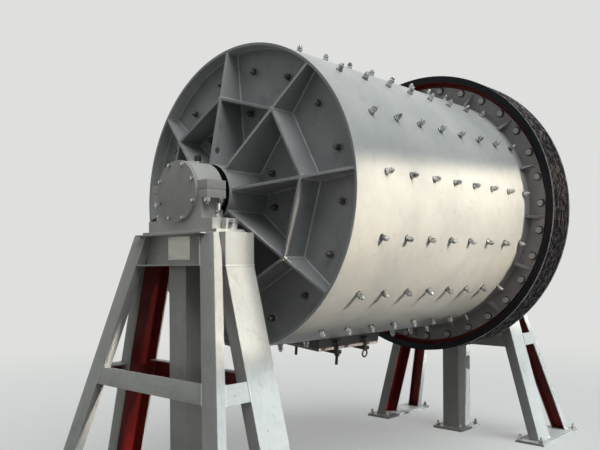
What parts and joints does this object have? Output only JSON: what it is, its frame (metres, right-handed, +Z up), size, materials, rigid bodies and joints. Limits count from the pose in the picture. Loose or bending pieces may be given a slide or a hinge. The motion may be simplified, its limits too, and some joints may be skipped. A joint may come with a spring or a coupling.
{
  "type": "ball mill with belt drive on two trestles",
  "caption": "Ball mill: a bolted, ribbed steel drum with a V-belt drive ring at one end and a manhole, turning in split bearing housings on two braced steel trestles.",
  "frame": {"origin": "on the floor under the middle of the drum", "axes": "+X along the drum axis towards the drive ring, +Y across the mill, +Z up"},
  "size_m": [3.9616, 2.194, 2.917],
  "materials": {
    "shell_paint": "glossy light grey enamel",
    "end_paint": "satin grey enamel",
    "flange_paint": "satin dark grey enamel",
    "pulley_iron": "machined, oiled",
    "housing_paint": "satin grey enamel",
    "trestle_paint": "satin warm grey enamel outside, red primer inside"
  },
  "bodies": {
    "stand": {"near_bearing_base": "housing_paint", "near_bearing_cap": "housing_paint", "near_end_cover": "housing_paint", "near_bearing_seat": "trestle_paint", "far_bearing_base": "housing_paint", "far_bearing_cap": "housing_paint", "far_end_cover": "housing_paint", "far_bearing_seat": "trestle_paint", "near_inner_beam": "trestle_paint", "near_outer_beam": "trestle_paint", "near_centre_post": "trestle_paint", "near_outer_leg_left": "trestle_paint", "near_outer_leg_right": "trestle_paint", "near_inner_leg_left": "trestle_paint", "near_inner_leg_right": "trestle_paint", "near_outer_brace": "trestle_paint", "near_inner_braces": "trestle_paint", "near_side_braces": "trestle_paint", "near_sole_plates": "trestle_paint", "far_inner_beam": "trestle_paint", "far_outer_beam": "trestle_paint", "far_centre_post": "trestle_paint", "far_outer_leg_left": "trestle_paint", "far_outer_leg_right": "trestle_paint", "far_inner_leg_left": "trestle_paint", "far_inner_leg_right": "trestle_paint", "far_outer_brace": "trestle_paint", "far_inner_braces": "trestle_paint", "far_side_braces": "trestle_paint", "far_sole_plates": "trestle_paint"},
    "drum": {"shell": "shell_paint", "near_end_plate": "end_paint", "far_end_plate": "end_paint", "near_ribs": "end_paint", "far_ribs": "end_paint", "near_ring_plates": "end_paint", "far_ring_plates": "end_paint", "near_hub": "end_paint", "far_hub": "end_paint", "drive_flange": "flange_paint", "drive_rim": "pulley_iron", "drive_web": "pulley_iron", "manhole_neck": "flange_paint", "manhole_cover": "flange_paint", "manhole_clamps": "pulley_iron"}
  },
  "joints": [
    {"name": "drum_spin", "type": "hinge", "parent": "stand", "child": "drum", "pos_m": [0, 0, 1.82], "axis": [1, 0, 0], "continuous": true}
  ]
}
